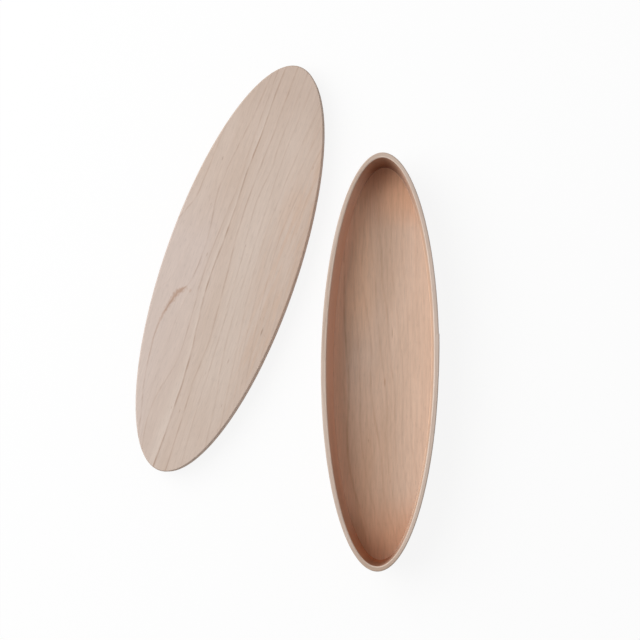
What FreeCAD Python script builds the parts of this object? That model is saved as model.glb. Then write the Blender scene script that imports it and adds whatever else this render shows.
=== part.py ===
import FreeCAD, Part
import math
import os

# Long oval maple box with a loose lid. The box stands on its foot at the origin, its length along Y.
# The lid lies face up on the same surface, at the box's left, resting on its inner board.

# Box, measured outside at the mouth; the sides lean out, so the foot lies a little inside the mouth.
# The rim's rounding is a share of the band's thickness where the band is thinnest.
box_length = 250.0
box_width = 70.6
box_height = 32.0
side_lean = 2.5
band_thickness = 3.1
rim_round_share = 0.27
foot_ease = 0.5

# Scarf lap of the band, at the middle of the right side. The outer end tapers away from a thin
# edge at its start to a small step at its end; the root is how deep it is glued into the band.
lap_start = -8.5
lap_length = 25.0
lap_thin_edge = 0.05
lap_step = 0.35
lap_root = 1.8

# Bottom board, let into the foot of the band, with a hair of glue round its edge.
floor_thickness = 5.0
glue_gap = 0.08

# Pegs through the band into the edge of the bottom board.
peg_count = 10
peg_diameter = 1.8
peg_reach = 6.0
peg_clearance = 0.03

# Lid: a slab that overhangs the rim, and the inner board that drops into the mouth.
lid_overhang = 5.35
lid_thickness = 10.0
lid_top_round = 0.8
lid_under_round = 0.8
inner_board_thickness = 4.0
inner_board_clearance = 0.6
inner_board_bevel = 0.8

# Where the lid's centre lies beside the box, and its turn about the vertical, in degrees.
lid_right = -93.7
lid_forward = 56.4
lid_turn = -18.3

# How far a cutting shape runs past what it cuts.
overrun = 1.0

# Steps used to measure along the oval, and points that the lap's curve runs through.
walk_steps = 720
lap_points = 5

UP = FreeCAD.Vector(0, 0, 1)
ORIGIN = FreeCAD.Vector(0, 0, 0)


def half_sizes(height, inset):
    """Half the box's length and width at a height, inset from its outer face."""
    drawn_in = side_lean * (1 - height / box_height) + inset
    return box_length / 2 - drawn_in, box_width / 2 - drawn_in


def rim_round():
    """The radius of the rim's two edges. The band is thinnest between its sides and its ends."""
    along, across = half_sizes(box_height, 0)
    thinnest = band_thickness * 2 * math.sqrt(along * across) / (along + across)
    return rim_round_share * thinnest


def side_point(angle, height):
    """A point on the outside of the box, and the level direction that points out of it there."""
    along, across = half_sizes(height, 0)
    outward = FreeCAD.Vector(math.cos(angle) / across, math.sin(angle) / along, 0)
    outward.normalize()
    return FreeCAD.Vector(across * math.cos(angle), along * math.sin(angle), height), outward


def oval(along, across, height):
    """A level elliptical wire, its long axis along Y."""
    edge = Part.Ellipse(FreeCAD.Vector(0, 0, height), along, across).toShape()
    edge.rotate(ORIGIN, UP, 90)
    return Part.Wire([edge])


def leaning_solid(low, high, inset):
    """The solid between the box's ovals at two heights, inset from its outer face."""
    ovals = [oval(*half_sizes(height, inset), height) for height in (low, high)]
    return Part.makeLoft(ovals, True, True)


def board_solid(height, inset, thickness):
    """A board with upright edges, of the box's oval at a height, standing on zero."""
    return Part.Face(oval(*half_sizes(height, inset), 0)).extrude(UP * thickness)


def level_edges(solid, height):
    """The edges of a solid that lie level at a height, the shortest first."""
    slack = solid.BoundBox.DiagonalLength * 1e-6
    edges = [edge for edge in solid.Edges
             if abs(edge.BoundBox.ZMin - height) < slack and abs(edge.BoundBox.ZMax - height) < slack]
    return sorted(edges, key=lambda edge: edge.Length)


def outer_form():
    """The outside of the box as a full solid, its top edge rounded and its foot eased."""
    form = leaning_solid(0, box_height, 0)
    form = form.makeFillet(rim_round(), level_edges(form, box_height))
    return form.makeChamfer(foot_ease, level_edges(form, 0))


def lap_wire(height):
    """The outline of the lap at a height: a long thin wedge on the right side of the box."""
    outer = []
    for step in range(lap_points):
        share = step / (lap_points - 1)
        forward = lap_start + lap_length * share
        surface, outward = side_point(math.asin(forward / half_sizes(height, 0)[0]), height)
        outer.append(surface + outward * (lap_thin_edge + (lap_step - lap_thin_edge) * share))
    root = [outer[-1] - outward * lap_root, outer[0] - outward * lap_root]
    curve = Part.BSplineCurve()
    curve.interpolate(outer)
    corners = [outer[-1]] + root + [outer[0]]
    sides = [Part.makeLine(first, second) for first, second in zip(corners, corners[1:])]
    return Part.Wire([curve.toShape()] + sides)


def lap_leaf():
    """The outer end of the lap, its top edge rounded and its foot eased like the band's."""
    leaf = Part.makeLoft([lap_wire(0), lap_wire(box_height)], True, True)
    top_edge = max(level_edges(leaf, box_height), key=lambda edge: edge.CenterOfMass.x)
    leaf = leaf.makeFillet(rim_round(), [top_edge])
    foot_edge = max(level_edges(leaf, 0), key=lambda edge: edge.CenterOfMass.x)
    return leaf.makeChamfer(foot_ease, [foot_edge])


def spaced_turns(count, height):
    """Angles of points that are evenly spaced along the outside of the box at a height."""
    turns = [2 * math.pi * step / walk_steps for step in range(walk_steps + 1)]
    points = [side_point(turn, height)[0] for turn in turns]
    walked = [0]
    for first, second in zip(points, points[1:]):
        walked.append(walked[-1] + first.distanceToPoint(second))
    spacing = walked[-1] / count
    places = [spacing * (number + 0.5) for number in range(count)]
    return [turns[min(range(len(walked)), key=lambda step: abs(walked[step] - place))]
            for place in places]


def peg_rods(diameter):
    """Level rods through the band into the bottom board, one for each peg."""
    height = floor_thickness / 2
    rods = []
    for turn in spaced_turns(peg_count, height):
        surface, outward = side_point(turn, height)
        start = surface + outward * band_thickness
        length = band_thickness * 2 + peg_reach
        rods.append(Part.makeCylinder(diameter / 2, length, start, outward * -1))
    return rods


def lay_beside_box(solid):
    """Carries a lid piece from above the origin to where the lid lies."""
    solid.rotate(ORIGIN, UP, lid_turn)
    solid.translate(FreeCAD.Vector(lid_right, lid_forward, 0))
    return solid


def side_band(form, holes):
    hollow = leaning_solid(-overrun, box_height + overrun, band_thickness)
    band = form.cut(hollow)
    band = band.makeFillet(rim_round(), level_edges(band, box_height)[:1])
    return band.fuse(lap_leaf()).cut(holes)


def bottom_board(holes):
    return leaning_solid(0, floor_thickness, band_thickness + glue_gap).cut(holes)


def bottom_pegs(form):
    return Part.makeCompound([rod.common(form) for rod in peg_rods(peg_diameter)])


def lid_board():
    board = board_solid(box_height, -lid_overhang, lid_thickness)
    board = board.makeFillet(lid_top_round, level_edges(board, lid_thickness))
    board = board.makeFillet(lid_under_round, level_edges(board, 0))
    board.translate(UP * inner_board_thickness)
    return lay_beside_box(board)


def lid_inner_board():
    deepest = box_height - inner_board_thickness
    board = board_solid(deepest, band_thickness + inner_board_clearance, inner_board_thickness)
    return lay_beside_box(board.makeChamfer(inner_board_bevel, level_edges(board, 0)))


outside = outer_form()
peg_holes = peg_rods(peg_diameter + peg_clearance * 2)
pieces = {
    "side_band": side_band(outside, peg_holes),
    "bottom_board": bottom_board(peg_holes),
    "bottom_pegs": bottom_pegs(outside),
    "lid_board": lid_board(),
    "lid_inner_board": lid_inner_board(),
}

os.makedirs("parts", exist_ok=True)
for name, shape in pieces.items():
    shape.exportStep("parts/" + name + ".step")
    print(name, len(shape.Solids), "solids", round(shape.Volume), "mm3", "valid", shape.isValid())
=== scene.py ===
import bpy
import math
from mathutils import Matrix, Vector


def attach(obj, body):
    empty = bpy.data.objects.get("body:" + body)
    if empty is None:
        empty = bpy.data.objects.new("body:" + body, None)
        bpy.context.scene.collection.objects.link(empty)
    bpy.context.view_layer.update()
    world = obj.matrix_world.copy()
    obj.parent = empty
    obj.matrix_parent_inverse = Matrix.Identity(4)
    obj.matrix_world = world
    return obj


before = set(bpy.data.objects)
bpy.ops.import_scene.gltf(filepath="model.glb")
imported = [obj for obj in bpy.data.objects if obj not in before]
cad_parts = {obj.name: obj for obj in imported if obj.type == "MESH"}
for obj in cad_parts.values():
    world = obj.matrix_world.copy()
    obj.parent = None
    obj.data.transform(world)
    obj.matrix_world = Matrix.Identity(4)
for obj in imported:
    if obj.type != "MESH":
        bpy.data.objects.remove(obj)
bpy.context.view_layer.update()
bpy.ops.object.select_all(action="DESELECT")


# The camera, as in the photograph: 1.3 m above the table, a little to the right and the front of
# the two pieces and looking back at them, through a long lens. It is rolled by just under 1 degree.
look_at = Vector((-0.0361, 0.02395, 0.032))
camera_offset = Vector((0.120, -0.080, 1.2920))
camera_roll = math.radians(-0.86)
sensor_width, lens_length = 36.0, 122.39
nearest_seen, farthest_seen = 0.01, 20.0

bpy.ops.object.camera_add(location=look_at + camera_offset)
camera = bpy.context.object
camera.name = "camera"
camera.data.sensor_width = sensor_width
camera.data.lens = lens_length
camera.data.clip_start, camera.data.clip_end = nearest_seen, farthest_seen
backward = camera_offset.normalized()
right = Vector((math.sin(camera_roll), math.cos(camera_roll), 0)).cross(backward).normalized()
upward = backward.cross(right)
turned = Matrix((right, upward, backward)).transposed().to_4x4()
camera.matrix_world = Matrix.Translation(look_at + camera_offset) @ turned
bpy.context.scene.camera = camera


# The studio table: a plain pale sheet, so white that the camera sees no edge to it, though it keeps
# a soft shadow. The sheet gives back less light than it shows, so that it doesn't flood the wood.
table_size = 12.0
paper_seen, paper_bounce = "#FFFFFF", "#B4B2AF"
shadow_lift = 0.88


def linear(text):
    """An sRGB hex colour as linear light."""
    parts = [int(text[place:place + 2], 16) / 255 for place in (1, 3, 5)]
    return tuple(c / 12.92 if c <= 0.04045 else ((c + 0.055) / 1.055) ** 2.4 for c in parts) + (1,)


def add(tree, kind, inputs=(), **settings):
    """Adds a node with its settings and gives its first live output. Its inputs are set or linked,
    by their order where they come as a tuple, or by their names."""
    node = tree.nodes.new("ShaderNode" + kind)
    for name, value in settings.items():
        setattr(node, name, value)
    for name, value in inputs.items() if isinstance(inputs, dict) else enumerate(inputs):
        socket = node.inputs[name] if isinstance(name, int) else next(
            s for s in node.inputs if s.enabled and s.name == name)
        if isinstance(value, bpy.types.NodeSocket):
            tree.links.new(value, socket)
        else:
            socket.default_value = value
    return next((s for s in node.outputs if s.enabled), None)


def new_material(name):
    """An empty node material and its node tree."""
    material = bpy.data.materials.new(name)
    material.use_nodes = True
    material.node_tree.nodes.clear()
    return material, material.node_tree


def seen_directly(tree):
    """1 for rays that the camera sees, straight or by gloss or glass, and 0 for the light's own."""
    path = add(tree, "LightPath").node.outputs
    seen = path["Is Camera Ray"]
    for other in ("Is Glossy Ray", "Is Transmission Ray"):
        seen = add(tree, "Math", (seen, path[other]), operation="MAXIMUM")
    return seen


bpy.ops.mesh.primitive_plane_add(size=table_size)
table = bpy.context.object
table.name = "table_sheet"
paper, tree = new_material("matt_white_paper")
seen = seen_directly(tree)
sheet_colour = add(tree, "Mix", {"Factor": seen, "A": linear(paper_bounce), "B": linear(paper_seen)},
                   data_type="RGBA")
matt = add(tree, "BsdfDiffuse", {"Color": sheet_colour})
glow = add(tree, "Emission", {"Color": linear(paper_seen), "Strength": 1.0})
lift = add(tree, "Math", (seen, shadow_lift), operation="MULTIPLY")
add(tree, "OutputMaterial", {"Surface": add(tree, "MixShader", (lift, matt, glow))})
table.data.materials.append(paper)
bpy.ops.object.select_all(action="DESELECT")


# The light: one large soft panel from the left, a little from behind, and an even pale sky. It
# shades the left half of the inside and the lid's right edge, as in the photograph.
sky_colour, sky_strength, sky_seen = "#FFFFFF", 0.36, 1.0
panel_size = 1.7
panel_distance = 1.5
panel_power = 21.2
panel_turn = math.radians(159)
panel_height = math.radians(46)

world = bpy.data.worlds.new("pale_sky")
bpy.context.scene.world = world
world.use_nodes = True
tree = world.node_tree
tree.nodes.clear()
seen = seen_directly(tree)
strength = add(tree, "MapRange", {"Value": seen, "To Min": sky_strength, "To Max": sky_seen})
sky = add(tree, "Background", {"Color": linear(sky_colour), "Strength": strength})
add(tree, "OutputWorld", {"Surface": sky})

toward = Vector((math.cos(panel_turn) * math.cos(panel_height),
                 math.sin(panel_turn) * math.cos(panel_height), math.sin(panel_height)))
bpy.ops.object.light_add(type="AREA", location=look_at + toward * panel_distance,
                         rotation=toward.to_track_quat("Z", "Y").to_euler())
panel = bpy.context.object
panel.name = "soft_panel"
panel.data.shape = "DISK"
panel.data.size = panel_size
panel.data.energy = panel_power
bpy.context.scene.view_settings.view_transform = "Standard"


# Bottom board: a flat oval of maple, planed, sanded and oiled, let into the foot of the band. It is
# cut lengthwise; its growth rings drift to the right toward the front, and along its left edge runs
# a strip of browner heartwood.
mm = 0.001
grain_reach = 140.0

# Maple's figure. A size is a blotch's width, length and depth in mm. A span is where soft noise
# begins to count and where it counts in full. Real fibres and pores are about a tenth of a
# millimetre wide, too fine to show here, so they are drawn as coarse as it takes to show.
cloud_size, cloud_span = (11.0, 70.0, 11.0), (0.36, 0.64)
waver_size = (5.0, 40.0, 5.0)
break_size, break_span, break_shares = (1.6, 12.0, 1.6), (0.36, 0.62), (0.35, 1.25)
fleck_cell, fleck_span, fleck_reach = (2.6, 14.0, 2.6), (0.7, 1.0), 0.14
fleck_edge, fleck_strength = 0.08, 0.4
fibre_size, fibre_detail = (0.75, 8.0, 0.75), 3.0
streak_size = (1.7, 45.0, 1.7)
pore_size, pore_span, pore_detail = (0.45, 5.0, 0.45), (0.65, 0.75), 0.0
pore_shade, pore_depth = -0.07, -0.6
early_start, early_shade = 0.3, 0.02
mark_edge, mark_core = 1.0, 0.3

# Thin oil leaves a soft sheen, duller where fibres stand up. They stand up by 0.06 mm at most.
maple_ior, oil_shine, oil_roughness, fibre_roughness = 1.47, 0.35, 0.44, 0.2
relief_strength, relief_height = 0.3, 0.00006


def grain_noise(tree, grain, size, detail=2.0):
    """Soft noise, drawn out along the grain. Size is a blotch's width, length and depth in mm."""
    fitted = add(tree, "VectorMath", (grain, size), operation="DIVIDE")
    return add(tree, "TexNoise", {"Vector": fitted, "Scale": 1.0, "Detail": detail})


def guide_line(tree, along, places):
    """The grain's place across the board, for each place along it, through the listed places in mm.
    """
    share = add(tree, "MapRange", (along, -grain_reach, grain_reach))
    line = add(tree, "FloatCurve", {"Value": share})
    curve = line.node.mapping.curves[0]
    for number, (y, x) in enumerate(sorted(places)):
        spot = ((y + grain_reach) / (2 * grain_reach), (x + grain_reach) / (2 * grain_reach))
        if number < 2:
            curve.points[number].location = spot
        else:
            curve.points.new(*spot)
    line.node.mapping.update()
    return add(tree, "MapRange", (line, 0.0, 1.0, -grain_reach, grain_reach), clamp=False)


def growth_rings(tree, across, along, guides):
    """How many growth rings lie to the left of a point, and how wide the rings are there, in mm."""
    lines = [(count, guide_line(tree, along, places)) for count, places in guides]
    rings, width = lines[0][0], 0.0
    for (low, left), (high, right_line) in zip(lines, lines[1:]):
        count = float(high - low)
        step = add(tree, "MapRange", (across, left, right_line, 0.0, count))
        rings = add(tree, "Math", (rings, step), operation="ADD")
        gap = add(tree, "Math", (right_line, left), operation="SUBTRACT")
        gap = add(tree, "Math", (gap, count), operation="DIVIDE")
        off_middle = add(tree, "Math", (step, count / 2), operation="SUBTRACT")
        off_middle = add(tree, "Math", (off_middle,), operation="ABSOLUTE")
        here = add(tree, "Math", (off_middle, count / 2), operation="LESS_THAN")
        width = add(tree, "Math", (gap, here, width), operation="MULTIPLY_ADD")
    return rings, width


def board_axes(tree, centre, turn):
    """Places on a board in mm: across its grain, along it and up, from the board's own middle."""
    spot = add(tree, "TexCoord").node.outputs["Object"]
    grain = add(tree, "Mapping", {"Vector": spot, "Location": centre, "Rotation": (0, 0, turn),
                                  "Scale": (mm, mm, mm)}, vector_type="TEXTURE")
    places = add(tree, "SeparateXYZ", (grain,)).node.outputs
    return grain, places["X"], places["Y"], places["Z"]


def tone(tree, *limits, within=None, **settings):
    """How far a tone of the wood shows, where all its limits hold. A limit is a place or another
    measure, where the tone begins on it and where it is full, and how far it shows at the two where
    that isn't 0 and 1."""
    share = within
    for limit in limits:
        here = add(tree, "MapRange", limit, **settings)
        share = here if share is None else add(tree, "Math", (share, here), operation="MULTIPLY")
    return share


def mark(tree, across, along, place, half_size, most):
    """A small long mark in the wood. Place and half size are across the grain and along it, in mm."""
    spot = add(tree, "CombineXYZ", (across, along))
    off = add(tree, "VectorMath", (spot, place + (0,)), operation="SUBTRACT")
    off = add(tree, "VectorMath", (off, half_size + (1,)), operation="DIVIDE")
    off = add(tree, "VectorMath", (off,), operation="LENGTH").node.outputs["Value"]
    return add(tree, "MapRange", (off, mark_edge, mark_core, 0.0, most))


def ring_shades(tree, nearest, strengths):
    """How dark the line of the nearest ring is, from one strength for each ring. Each is looked up
    a little inside its own step, clear of the border to the next."""
    steps = len(strengths) - 1
    clear_of_border = 0.2 / len(strengths)
    number = add(tree, "Math", (nearest,), operation="FLOOR")
    number = add(tree, "Math", (number, float(steps)), operation="DIVIDE")
    inside_step = add(tree, "Math", (number, clear_of_border), operation="ADD")
    shades = add(tree, "ValToRGB", (inside_step,))
    ramp = shades.node.color_ramp
    ramp.interpolation = "CONSTANT"
    for place, shade in enumerate(strengths):
        at_end = place in (0, steps)
        element = ramp.elements[-(place > 0)] if at_end else ramp.elements.new(place / steps)
        element.position = place / steps
        element.color = (shade, shade, shade, 1)
    return shades


def sanded_maple(tree, grain, ring_field, strengths, colours, figure, end_grain=None, stains=(),
                 clearness=1.0):
    """Maple, sanded along the grain and wiped with thin oil: fine rings, fibres, pores, ray flecks.
    Figure is how strong the fibres and the streaks are, and half a ring line's width in mm."""
    pale, tan, ring_line, fleck, end_tint = (linear(colour) for colour in colours)
    fine, broad, half_line = figure
    cloud = add(tree, "MapRange", (grain_noise(tree, grain, cloud_size), *cloud_span),
                interpolation_type="SMOOTHSTEP")
    colour = add(tree, "Mix", {"Factor": cloud, "A": pale, "B": tan}, data_type="RGBA")
    for share, stain in stains:
        colour = add(tree, "Mix", {"Factor": share, "A": colour, "B": linear(stain)},
                     data_type="RGBA")

    # A thin dark line runs along each ring, wavers a little and is broken here and there.
    rings, ring_width = ring_field
    waver = add(tree, "Math", (grain_noise(tree, grain, waver_size), 0.5), operation="SUBTRACT")
    waver = add(tree, "Math", (waver, ring_width), operation="DIVIDE")
    nearest = add(tree, "Math", (rings, 0.5), operation="ADD")
    nearest = add(tree, "Math", (nearest, waver), operation="ADD")
    off_line = add(tree, "Math", (nearest,), operation="FRACT")
    off_line = add(tree, "Math", (off_line, 0.5), operation="SUBTRACT")
    off_line = add(tree, "Math", (off_line,), operation="ABSOLUTE")
    off_line = add(tree, "Math", (off_line, ring_width), operation="MULTIPLY")
    line = add(tree, "MapRange", (off_line, 0.0, half_line, 1.0, 0.0))
    line = add(tree, "Math", (line, ring_shades(tree, nearest, strengths)), operation="MULTIPLY")
    line = tone(tree, (grain_noise(tree, grain, break_size), *break_span, *break_shares),
                within=line)
    line = add(tree, "Math", (line, clearness), operation="MULTIPLY")
    colour = add(tree, "Mix", {"Factor": line, "A": colour, "B": ring_line}, data_type="RGBA")

    # Ray flecks: short brown lenses, scattered one by one.
    in_cells = add(tree, "VectorMath", (grain, fleck_cell), operation="DIVIDE")
    cells = add(tree, "TexVoronoi", {"Vector": in_cells, "Scale": 1.0}).node.outputs
    chance = add(tree, "SeparateColor", {"Color": cells["Color"]})
    lens = add(tree, "MapRange", (chance, *fleck_span, 0.0, fleck_reach))
    lens = add(tree, "Math", (lens, cells["Distance"]), operation="SUBTRACT")
    lens = add(tree, "MapRange", (lens, 0.0, fleck_edge, 0.0, fleck_strength))
    colour = add(tree, "Mix", {"Factor": lens, "A": colour, "B": fleck}, data_type="RGBA")

    # Fibres and pores: fine streaks along the grain, and short dark dashes.
    fibre = grain_noise(tree, grain, fibre_size, fibre_detail)
    streak = grain_noise(tree, grain, streak_size)
    pore = add(tree, "MapRange", (grain_noise(tree, grain, pore_size, pore_detail), *pore_span))
    early = add(tree, "Math", (rings,), operation="FRACT")
    early = add(tree, "MapRange", (early, early_start, 1.0, -0.5, 0.5))
    level = 1.0 - fine / 2 - broad / 2
    for pattern, strength in ((fibre, fine), (streak, broad), (pore, pore_shade),
                              (early, early_shade)):
        level = add(tree, "Math", (pattern, strength, level), operation="MULTIPLY_ADD")
    colour = add(tree, "VectorMath", {0: colour, "Scale": level}, operation="SCALE")

    # Where the fibres are cut across, the oil soaks in and the wood shows darker.
    if end_grain is not None:
        colour = add(tree, "Mix", {"Factor": end_grain, "A": colour, "B": end_tint},
                     data_type="RGBA")
    rough = add(tree, "Math", (fibre, fibre_roughness, oil_roughness), operation="MULTIPLY_ADD")
    relief = add(tree, "Math", (pore, pore_depth, fibre), operation="MULTIPLY_ADD")
    bump = add(tree, "Bump", {"Height": relief, "Strength": relief_strength,
                              "Distance": relief_height})
    shader = add(tree, "BsdfPrincipled", {"Base Color": colour, "Roughness": rough,
                                          "IOR": maple_ior, "Specular IOR Level": oil_shine,
                                          "Normal": bump})
    add(tree, "OutputMaterial", {"Surface": shader})


# The floor's growth rings, one in two of them traced: how many rings lie to its left, and its places
# in mm from the board's middle, along the board toward the back and across it to the right. Then how
# dark each ring's line is, and the wood's colours: pale, tan, ring line, ray fleck and end grain.
floor_guides = (
    (0, ((130, -38), (60, -36), (-60, -33), (-130, -18))),
    (2, ((130, -26), (63, -24.3), (22, -23.4), (-5, -21), (-66, -19), (-101, -8.2), (-115, -4.5),
         (-130, 0))),
    (4, ((130, -18), (95, -18.2), (65, -19), (38, -17.8), (5, -14.5), (-52, -11.8), (-74, -7.9),
         (-92, -3), (-113, 3.5), (-130, 8))),
    (6, ((130, -12.5), (102, -11.9), (80, -12.6), (55, -13.4), (10, -7.2), (-18, -6.7), (-58, 0),
         (-82, 2.3), (-110, 10.3), (-130, 15))),
    (8, ((130, -7.6), (115, -8.2), (91, -9), (75, -8.3), (47, -4.9), (35, -4.3), (-6, 0.5),
         (-27, 3), (-47, 2.9), (-103, 11.9), (-130, 20))),
    (10, ((130, -5.6), (97, -3.7), (83, -3.4), (65, -1.3), (51, -1), (35, 1.6), (-2, 5.2),
          (-13, 7), (-46, 8.2), (-75, 11.1), (-130, 25))),
    (12, ((130, 1.8), (91, 4.3), (64, 4.1), (30, 8.5), (-12, 12.6), (-46, 12.3), (-66, 14),
          (-79, 18), (-130, 32))),
    (14, ((130, 11.2), (102, 11.4), (57, 11.7), (45, 14), (22, 15.2), (-2, 15.1), (-27, 17.5),
          (-42, 17.3), (-61, 20.3), (-130, 38))),
    (16, ((130, 19), (91, 19.2), (45, 19.8), (5, 22.6), (-13, 23.8), (-44, 24.1), (-130, 44))),
    (18, ((130, 27), (20, 28.6), (-50, 29.5), (-95, 35), (-130, 50))),
)
heartwood_border = ((130, -19.6), (67.5, -18.9), (39, -22.4), (-12.7, -20.4), (-61.6, -17.7),
                    (-83.3, -12.9), (-108.7, -6.2), (-130, -1))
floor_strengths = (0, 0.06, 0.3, 0.06, 0.19, 0.07, 0.21, 0.06, 0.15, 0.05, 0.17, 0.07, 0.13, 0.06,
                   0.12, 0.07, 0.12, 0.06, 0.1)
floor_colours = ("#D3B8A4", "#CAAD97", "#9A6A4A", "#8A6146", "#A98467")
floor_half_width, floor_half_length = 30.0, 119.7
floor_figure = (0.28, 0.19, 1.0)

floor_wood, tree = new_material("maple_board_sanded_and_oiled")
grain, across, along = board_axes(tree, (0, 0, 0), 0)[:3]
ring_field = growth_rings(tree, across, along, floor_guides)
past_border = add(tree, "Math", (across, guide_line(tree, along, heartwood_border)),
                  operation="SUBTRACT")
from_middle = add(tree, "Math", (along,), operation="ABSOLUTE")
to_wall = add(tree, "VectorMath", (grain, (1 / floor_half_width, 1 / floor_half_length, 0)),
              operation="MULTIPLY")
to_wall = add(tree, "VectorMath", (to_wall,), operation="LENGTH").node.outputs["Value"]

# Heartwood at the left. Over the rest, painted light and shade: paler to the right and where the
# left wall's shade is lifted, darker at the front left and toward both ends, the tips most of all.
heartwood = tone(tree, (past_border, -2.1, -0.6, 0.8, 0.0), interpolation_type="SMOOTHSTEP")
heart_edge = tone(tree, (past_border, -10.5, -2.2), (along, 40.0, -80.0, 0.06, 0.19),
                  (past_border, -2.0, -0.6, 1.0, 0.0))
# Painted shade: the heartwood darker toward the front, where the left wall's shade is deeper.
heartwood_front_shade = tone(tree, (along, -30.0, -100.0, 0.0, 0.2), (past_border, -2.0, -0.6, 1.0, 0.0))
# Painted light: the floor paler toward the right, where the panel's light falls.
painted_light_right = tone(tree, (across, -6.0, 24.0, 0.0, 0.7), interpolation_type="SMOOTHSTEP")
# Painted light: the floor paler beside the left wall, lifting the shade in the corner.
painted_light_by_wall = tone(tree, (to_wall, 0.8, 0.96, 0.0, 0.6), (across, 6.0, -8.0),
               (from_middle, 100.0, 80.0))
# Painted shade: the front left of the floor darker, in the left wall's shade.
painted_shade_front_left = tone(tree, (along, 0.0, -70.0, 0.0, 0.9), (across, 10.0, -10.0))
# Painted shade: the floor darker toward the front end.
shaded_front_end = tone(tree, (along, -74.0, -112.0, 0.0, 0.25))
# Painted light: paler on the back left, lifting the left wall's shade, and at the back right of the
# far end, where the light falls.
painted_light_back_left = tone(tree, (along, 5.0, 35.0, 0.0, 0.9), (along, 102.0, 84.0),
                 (past_border, -1.5, 0.5), (across, -3.0, -11.0))
painted_light_back_right = tone(tree, (along, 82.0, 104.0, 0.0, 0.7), (across, -7.0, 4.0))
# Painted shade: darker toward both narrow ends, and at the tips darkest on the left and at the back,
# where the light is cut off most.
shaded_far_ends = tone(tree, (from_middle, 76.0, 106.0, 0.0, 0.7), interpolation_type="SMOOTHSTEP")
tips = tone(tree, (from_middle, 98.0, 118.0, 0.0, 0.75), interpolation_type="SMOOTHSTEP")
tips = tone(tree, (across, 0.0, 9.0, 1.0, 0.3), (along, -20.0, 20.0, 0.5, 0.7), within=tips)
dark_dash = mark(tree, across, along, (5.6, 18.2), (0.36, 4.2), 0.5)
brown_dash = mark(tree, across, along, (1.5, -11.9), (0.6, 3.6), 0.4)
faint_at_front = tone(tree, (along, -45.0, -85.0, 1.0, 0.6))

sanded_maple(tree, grain, ring_field, floor_strengths, floor_colours, floor_figure, stains=(
    (heartwood, "#DCB69D"), (painted_light_right, "#DDC4B1"), (painted_shade_front_left, "#D0A98D"), (shaded_far_ends, "#D2A384"),
    (shaded_front_end, "#B98460"), (heartwood_front_shade, "#AE7B5A"), (heart_edge, "#96694D"),
    (painted_light_back_left, "#E0BCA0"), (painted_light_back_right, "#E4B897"), (painted_light_by_wall, "#F0C4A8"), (tips, "#A05D38"),
    (dark_dash, "#94704F"), (brown_dash, "#A9754F")), clearness=faint_at_front)
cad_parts["bottom_board"].material_slots[0].material = floor_wood


# Lid board: a slab of flat-sawn maple, sanded and oiled. Its rings stand close and straight on the
# right; on the left the saw ran along them, which gives the broad curved figure.
lid_centre, lid_turn = (-0.0937, 0.0564, 0.014), math.radians(-18.3)

# Its growth rings, traced in the way of the floor's.
lid_guides = (
    (0, ((130, -45), (-20, -62), (-130, -90))),
    (3, ((130, -25), (79, -31.2), (61, -32), (47, -32.8), (34, -34), (27, -36.5), (21, -38.7),
         (0, -50), (-130, -70))),
    (6, ((130, -14), (94, -16.7), (81, -18.3), (64, -20.7), (51, -21.7), (41, -22), (31, -20.8),
         (17, -19), (2, -18.5), (-9, -19), (-19, -21.2), (-23, -24.4), (-29, -26.7),
         (-39, -29.1), (-50, -30.1), (-61, -29.5), (-78, -27.4), (-89, -25.2), (-101, -22),
         (-130, -16))),
    (8, ((130, -11.5), (79, -12), (51, -11.7), (27, -12.8), (7, -13.7), (-16, -13.7),
         (-26, -12.8), (-41, -12), (-61, -11.5), (-71, -12.8), (-81, -15.3), (-89, -16.7),
         (-99, -17), (-108, -16.7), (-130, -12))),
    (9, ((130, -7.2), (104, -8.3), (84, -8.3), (59, -9), (40, -8.7), (17, -8.7), (1, -9.3),
         (-9, -9.5), (-21, -9), (-33, -7.8), (-43, -6.7), (-53, -5.3), (-66, -4.5), (-83, -4),
         (-130, -4.2))),
    (11, ((130, -0.7), (101, -1.2), (84, -1.5), (67, -2.3), (47, -2.8), (31, -2.8), (17, -2),
         (4, -0.7), (-9, 0.5), (-19, 1.3), (-33, 2.2), (-46, 3), (-58, 2.6), (-74, 2),
         (-89, 2.7), (-130, 3.5))),
    (13, ((130, 6.4), (116, 5.8), (78, 4.1), (66, 4.5), (52, 3), (43, 2.6), (29, 3.1), (8, 5.2),
          (-67, 9.1), (-81, 9.3), (-118, 11.5), (-130, 12.5))),
    (15, ((130, 11.5), (101, 10.6), (88, 9.7), (37, 9.7), (3, 10.6), (-62, 15.6), (-73, 18),
          (-100, 21), (-130, 25))),
    (17, ((130, 22), (98, 18.6), (55, 15.2), (12, 14.7), (-15, 16.8), (-47, 21), (-80, 25),
          (-130, 34))),
    (19, ((130, 30), (94, 24.2), (61, 20.9), (37, 19.7), (21, 19.6), (-8, 21.1), (-60, 27),
          (-130, 42))),
    (21, ((130, 37), (72, 27.6), (43, 23.9), (18, 23.4), (-9, 25.5), (-30, 27.8), (-70, 34),
          (-130, 48))),
    (24, ((130, 48), (84, 38), (50, 34), (17, 34), (-30, 38), (-60, 42), (-130, 56))),
)
lid_strengths = (0, 0, 0, 0.3, 0, 0.08, 0.34, 0.08, 0.28, 0.66, 0.06, 0.38, 0.06, 0.24, 0.06, 0.2,
                 0.06, 0.2, 0.06, 0.17, 0.06, 0.2, 0.06, 0.13, 0.06)
lid_colours = ("#D1BDAF", "#CDB8A9", "#A07F69", "#96745C", "#A88A74")
lid_figure = (0.19, 0.1, 0.7)

# The rings lean by 0.8 mm for each mm of depth. The tips are end grain, and darker for it.
ring_lean = -0.8
end_grain_start, end_grain_most = 0.25, 0.7
ragged_size, ragged_swing = (1.2, 2.4, 1.2), 2.0
warm_size, warm_span = (2.2, 30.0, 2.2), (0.45, 0.62)


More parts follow.
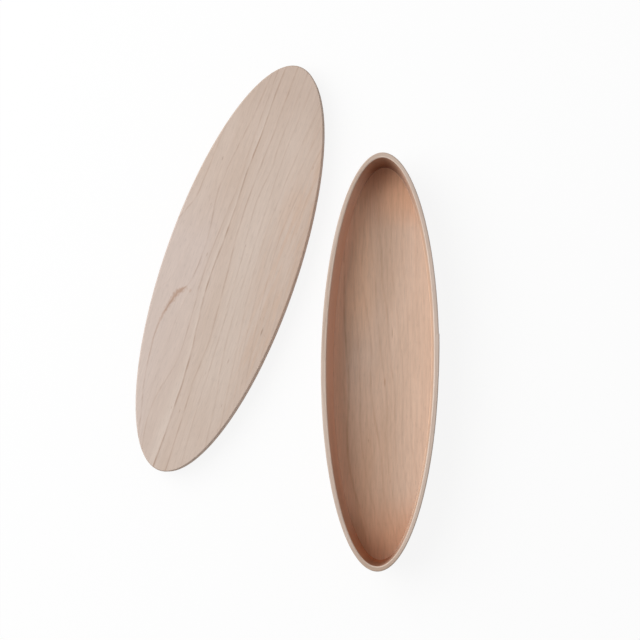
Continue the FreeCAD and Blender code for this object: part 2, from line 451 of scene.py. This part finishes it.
def cut_across(tree, turn):
    """How far a face cuts the fibres across, from none on a board's face to most at its two tips."""
    normal = add(tree, "TexCoord").node.outputs["Normal"]
    way = (-math.sin(turn), math.cos(turn), 0)
    facing = add(tree, "VectorMath", (normal, way), operation="DOT_PRODUCT")
    facing = add(tree, "Math", (facing,), operation="ABSOLUTE")
    return add(tree, "MapRange", (facing, end_grain_start, 1.0, 0.0, end_grain_most))


lid_wood, tree = new_material("flat_sawn_maple_sanded_and_oiled")
grain, across, along, up = board_axes(tree, lid_centre, lid_turn)
normal = add(tree, "TexCoord").node.outputs["Normal"]
upright = add(tree, "SeparateXYZ", (normal,)).node.outputs["Z"]
upright = add(tree, "Math", (upright,), operation="ABSOLUTE")
leaned = add(tree, "Math", (up, ring_lean, across), operation="MULTIPLY_ADD")
rings, ring_width = growth_rings(tree, leaned, along, lid_guides)

# A reddish mineral streak follows one ring on the left, broad at its head and thin toward its tail.
away = add(tree, "Math", (across, guide_line(tree, along, dict(lid_guides)[6])),
           operation="SUBTRACT")
away = add(tree, "Math", (away,), operation="ABSOLUTE")
ragged = add(tree, "Math", (grain_noise(tree, grain, ragged_size), ragged_swing),
             operation="MULTIPLY")
breadth = guide_line(tree, along, (
    (130, 0), (-18, 0), (-20.5, 2.2), (-25, 2.4), (-30, 2.0), (-38, 1.4), (-50, 0.8), (-72, 0.4),
    (-130, 0)))
breadth = add(tree, "Math", (breadth, ragged), operation="MULTIPLY")
inside_streak = add(tree, "Math", (breadth, away), operation="SUBTRACT")
mineral = tone(tree, (inside_streak, 0.0, 1.8, 0.0, 0.6))
streak_spot = mark(tree, across, along, (-18.1, -20.9), (1.0, 1.6), 0.3)

# Pinkish at the front left, paler along the strongest ring and in the middle, warmer at the right.
pinkish = tone(tree, (rings, 5.0, 11.0, 0.75, 0.0), interpolation_type="SMOOTHSTEP")
pinkish = tone(tree, (along, 50.0, 8.0), within=pinkish)
pale_middle = tone(tree, (rings, 22.0, 15.0), interpolation_type="SMOOTHSTEP")
pale_middle = tone(tree, (rings, 9.5, 13.0), (along, 90.0, 10.0, 0.15, 0.5),
                   (along, -100.0, -60.0, 0.3, 1.0), within=pale_middle)
pale_side = tone(tree, (rings, 8.4, 8.9, 0.0, 0.4), (rings, 8.96, 9.04, 1.0, 0.0))
warm_streaks = tone(tree, (rings, 16.0, 22.0, 0.0, 0.4),
                    (grain_noise(tree, grain, warm_size), *warm_span))
back_tip = tone(tree, (along, 85.0, 112.0, 0.0, 0.6))
right_dash = mark(tree, across, along, (31.7, -30.4), (0.55, 3.3), 0.6)
sawn_side = tone(tree, (upright, 0.7, 0.3, 0.0, 0.6))

sanded_maple(tree, grain, (rings, ring_width), lid_strengths, lid_colours, lid_figure,
             end_grain=cut_across(tree, lid_turn), stains=(
                 (pinkish, "#D4C3BA"), (pale_middle, "#D8C8BC"), (pale_side, "#DFD0C4"),
                 (warm_streaks, "#CFAF97"), (back_tip, "#C7B1A2"), (mineral, "#AE866C"),
                 (streak_spot, "#AE866C"), (right_dash, "#8E705A"), (sawn_side, "#CFAC94")))
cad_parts["lid_board"].material_slots[0].material = lid_wood


# Inner board of the lid: a thinner oval of the same maple, glued under the slab, which drops into
# the mouth and keeps the lid in place. Its grain runs with the slab's.
inner_figure = (0.15, 0.1, 0.6)

inner_wood, tree = new_material("maple_board_sanded_inner")
grain, across, along = board_axes(tree, lid_centre, lid_turn + math.pi)[:3]
sanded_maple(tree, grain, growth_rings(tree, across, along, floor_guides), floor_strengths,
             floor_colours, inner_figure, end_grain=cut_across(tree, lid_turn))
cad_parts["lid_inner_board"].material_slots[0].material = inner_wood


# Side band: one strip of maple, steamed, bent round a form into an oval and lapped on itself at the
# right side, where its outer end is feathered and glued. Its grain runs round the box. The inside is
# painted deeper and warmer than the sanded rim, for its shade and warm bounced light, darkest at the
# ends.
half_width, half_length, side_lean, box_height = 35.3, 125.0, 2.5, 32.0
lap_end_turn = math.radians(7.6)
arc_mean, arc_swing = 84.0, 24.0

# How many rings are crossed for each mm upward and inward, and how wide they show, in mm.
rings_up, rings_in, band_ring_width = 0.27, 0.14, 3.6
wander_size, wander_rings = (45.0, 150.0, 45.0), 7.0
band_figure = (0.15, 0.1, 0.5)
band_strengths = (0.18, 0.12, 0.27, 0.18, 0.36, 0.15, 0.3, 0.18, 0.42, 0.21, 0.15, 0.3, 0.18, 0.24,
                  0.18, 0.18)
band_colours = ("#D3BFB1", "#C9B3A3", "#9C7A63", "#8E6C54", "#A98467")

band_wood, tree = new_material("steam_bent_maple_oiled")
spot = add(tree, "TexCoord").node.outputs["Object"]
spot = add(tree, "VectorMath", {0: spot, "Scale": 1 / mm}, operation="SCALE")
places = add(tree, "SeparateXYZ", (spot,)).node.outputs
across_box, along_box, height = places["X"], places["Y"], places["Z"]

# Depth into the band, from the distance to its outer oval, which leans out as it rises.
level_spot = add(tree, "VectorMath", (spot, (1, 1, 0)), operation="MULTIPLY")
ovalled = add(tree, "VectorMath", (level_spot, (half_width, half_length, 1)), operation="DIVIDE")
reach = add(tree, "VectorMath", (ovalled,), operation="LENGTH").node.outputs["Value"]
slope = add(tree, "VectorMath", (ovalled, (half_width, half_length, 1)), operation="DIVIDE")
slope = add(tree, "VectorMath", (slope,), operation="LENGTH").node.outputs["Value"]
slope = add(tree, "Math", (slope, reach), operation="DIVIDE")
inward = add(tree, "Math", (1.0, reach), operation="SUBTRACT")
inward = add(tree, "Math", (inward, slope), operation="DIVIDE")
leaning = add(tree, "MapRange", (height, 0.0, box_height, side_lean, 0.0))
depth = add(tree, "Math", (inward, leaning), operation="SUBTRACT")

# The way round the band in mm, from the end of the lap: its ends curve tighter than its sides.
from_lap = add(tree, "VectorRotate", {"Vector": ovalled, "Angle": math.pi - lap_end_turn},
               rotation_type="Z_AXIS")
from_lap = add(tree, "SeparateXYZ", (from_lap,)).node.outputs
turn_round = add(tree, "Math", (from_lap["Y"], from_lap["X"]), operation="ARCTAN2")
swing = add(tree, "Math", (turn_round, 2.0, 2 * lap_end_turn), operation="MULTIPLY_ADD")
swing = add(tree, "Math", (swing,), operation="SINE")
arc = add(tree, "Math", (turn_round, arc_mean), operation="MULTIPLY")
arc = add(tree, "Math", (swing, arc_swing, arc), operation="MULTIPLY_ADD")
grain = add(tree, "CombineXYZ", (height, arc, depth))
wander = add(tree, "Math", (grain_noise(tree, grain, wander_size), wander_rings),
             operation="MULTIPLY")
rings = add(tree, "Math", (depth, rings_in, wander), operation="MULTIPLY_ADD")
rings = add(tree, "Math", (height, rings_up, rings), operation="MULTIPLY_ADD")

# The inside carries painted light and shade: deeper all over, paler on the lit right wall and low on
# the left wall, darker at the front left, and darkest at both ends, most at the back.
from_middle = add(tree, "Math", (along_box,), operation="ABSOLUTE")
# Painted shade: the inside deeper and warmer than the rim, for its shade and warm bounced light.
inside = tone(tree, (depth, 2.0, 2.7), (height, 31.4, 30.6))
# Painted light: the right wall paler, where it faces the panel's light.
lit_right_wall = tone(tree, (across_box, -12.0, 18.0), within=inside)
# Painted shade: the left wall darker toward the front, where it faces away from the light.
shaded_front_left_wall = tone(tree, (along_box, -10.0, -104.0, 0.0, 0.8), (across_box, 6.0, -8.0),
                    within=inside)
# Painted light: the low left wall paler, lifting the shade of the corner.
painted_light_low_wall = tone(tree, (height, 18.0, 6.0, 0.0, 0.6), (from_middle, 104.0, 80.0),
                (across_box, 0.0, -10.0), within=inside)
# Painted shade: darker still at the left of the front end.
shaded_front_left_end = tone(tree, (along_box, -95.0, -104.0), (across_box, -5.0, -9.0, 0.0, 0.8),
                  within=inside)
# The inner edge paler: partly sanded wear, partly a painted highlight of the light catching it.
worn_edge_and_highlight = tone(tree, (depth, 2.1, 2.7, 0.0, 0.6), (height, 31.2, 31.5))
# Painted shade: the inside darkest in the narrow ends, more on the left and low down, and less so low
# down at the front end.
end_shade_start = add(tree, "MapRange", (across_box, -6.0, 6.0, 98.0, 107.0))
end_shade = tone(tree, (from_middle, end_shade_start, 121.0), interpolation_type="SMOOTHSTEP",
                 within=inside)
end_shade = tone(tree, (height, 29.0, 8.0, 0.65, 0.95), (across_box, 1.0, 9.0, 1.0, 0.5),
                 within=end_shade)
lighter_front_shade = tone(tree, (along_box, 0.0, -20.0), (height, 24.0, 7.0), within=end_shade)
front_tip = tone(tree, (along_box, -104.0, -121.0, 0.0, 0.6))

sanded_maple(tree, grain, (rings, band_ring_width), band_strengths, band_colours, band_figure,
             stains=((front_tip, "#B4967F"), (inside, "#D4A893"), (lit_right_wall, "#DEC0A8"),
                     (shaded_front_left_wall, "#A0725A"), (painted_light_low_wall, "#DDB29A"), (worn_edge_and_highlight, "#F2DFD0"),
                     (end_shade, "#7C482B"), (lighter_front_shade, "#AE6C48"), (shaded_front_left_end, "#B97D5D")))
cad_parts["side_band"].material_slots[0].material = band_wood


# Corner fillet: glue and maple dust, pressed into the corner of band and bottom board and smoothed
# along with a fingertip. It closes the hair of a gap there and is oiled with the rest.
fillet_radius, fillet_bite = 0.6, 0.06
fillet_steps, fillet_sides = 6, 256
band_thickness, floor_top = 3.1, 5.0
weld = 0.00001

profile = [(fillet_radius * (1 - math.cos(turn)), fillet_radius * (1 - math.sin(turn)))
           for turn in (math.pi / 2 * step / fillet_steps for step in range(fillet_steps + 1))]
profile = [(-fillet_bite, fillet_radius)] + profile + [(fillet_radius, -fillet_bite)]
profile += [(-fillet_bite, -fillet_bite), profile[0]]
bpy.ops.mesh.primitive_circle_add(vertices=fillet_sides, radius=1.0, enter_editmode=True)
fillet = bpy.context.object
fillet.name = "corner_fillet"
bpy.ops.mesh.select_all(action="SELECT")
last = (1.0, 1.0, 0.0)
for number, (inset, rise) in enumerate(profile):
    drawn_in = side_lean * (1 - (floor_top + rise) / box_height) + band_thickness + inset
    here = ((half_width - drawn_in) * mm, (half_length - drawn_in) * mm, (floor_top + rise) * mm)
    if number:
        bpy.ops.mesh.extrude_edges_move()
    bpy.ops.transform.resize(value=(here[0] / last[0], here[1] / last[1], 1.0),
                             center_override=(0, 0, 0))
    bpy.ops.transform.translate(value=(0, 0, here[2] - last[2]))
    last = here
bpy.ops.mesh.select_all(action="SELECT")
bpy.ops.mesh.remove_doubles(threshold=weld)
bpy.ops.mesh.normals_make_consistent(inside=False)
bpy.ops.object.mode_set(mode="OBJECT")
bpy.ops.object.shade_smooth()
filler = band_wood.copy()
filler.name = "maple_dust_and_glue_oiled"
fillet.data.materials.append(filler)
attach(fillet, "box")
bpy.ops.object.select_all(action="DESELECT")


# Pegs: ten short rods of darker hardwood through the foot of the band into the bottom board, cut
# off flush. What shows is their round end grain, dotted with pores.
peg_pale, peg_dark, peg_pore = "#B08C70", "#967054", "#6E4E39"
peg_blotch = (1.1, 1.1, 1.1)
peg_pore_size, peg_pore_span, peg_pore_detail = (0.16, 0.16, 0.16), (0.52, 0.66), 1.0
peg_roughness = 0.6

peg_wood, tree = new_material("hardwood_peg_end_grain")
spot = add(tree, "TexCoord").node.outputs["Object"]
spot = add(tree, "VectorMath", {0: spot, "Scale": 1 / mm}, operation="SCALE")
pores = grain_noise(tree, spot, peg_pore_size, peg_pore_detail)
pores = add(tree, "MapRange", (pores, *peg_pore_span))
cloud = grain_noise(tree, spot, peg_blotch)
colour = add(tree, "Mix", {"Factor": cloud, "A": linear(peg_pale), "B": linear(peg_dark)},
             data_type="RGBA")
colour = add(tree, "Mix", {"Factor": pores, "A": colour, "B": linear(peg_pore)},
             data_type="RGBA")
bump = add(tree, "Bump", {"Height": pores, "Strength": relief_strength,
                          "Distance": relief_height}, invert=True)
shader = add(tree, "BsdfPrincipled", {"Base Color": colour, "Roughness": peg_roughness,
                                      "IOR": maple_ior, "Normal": bump})
add(tree, "OutputMaterial", {"Surface": shader})
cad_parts["bottom_pegs"].material_slots[0].material = peg_wood
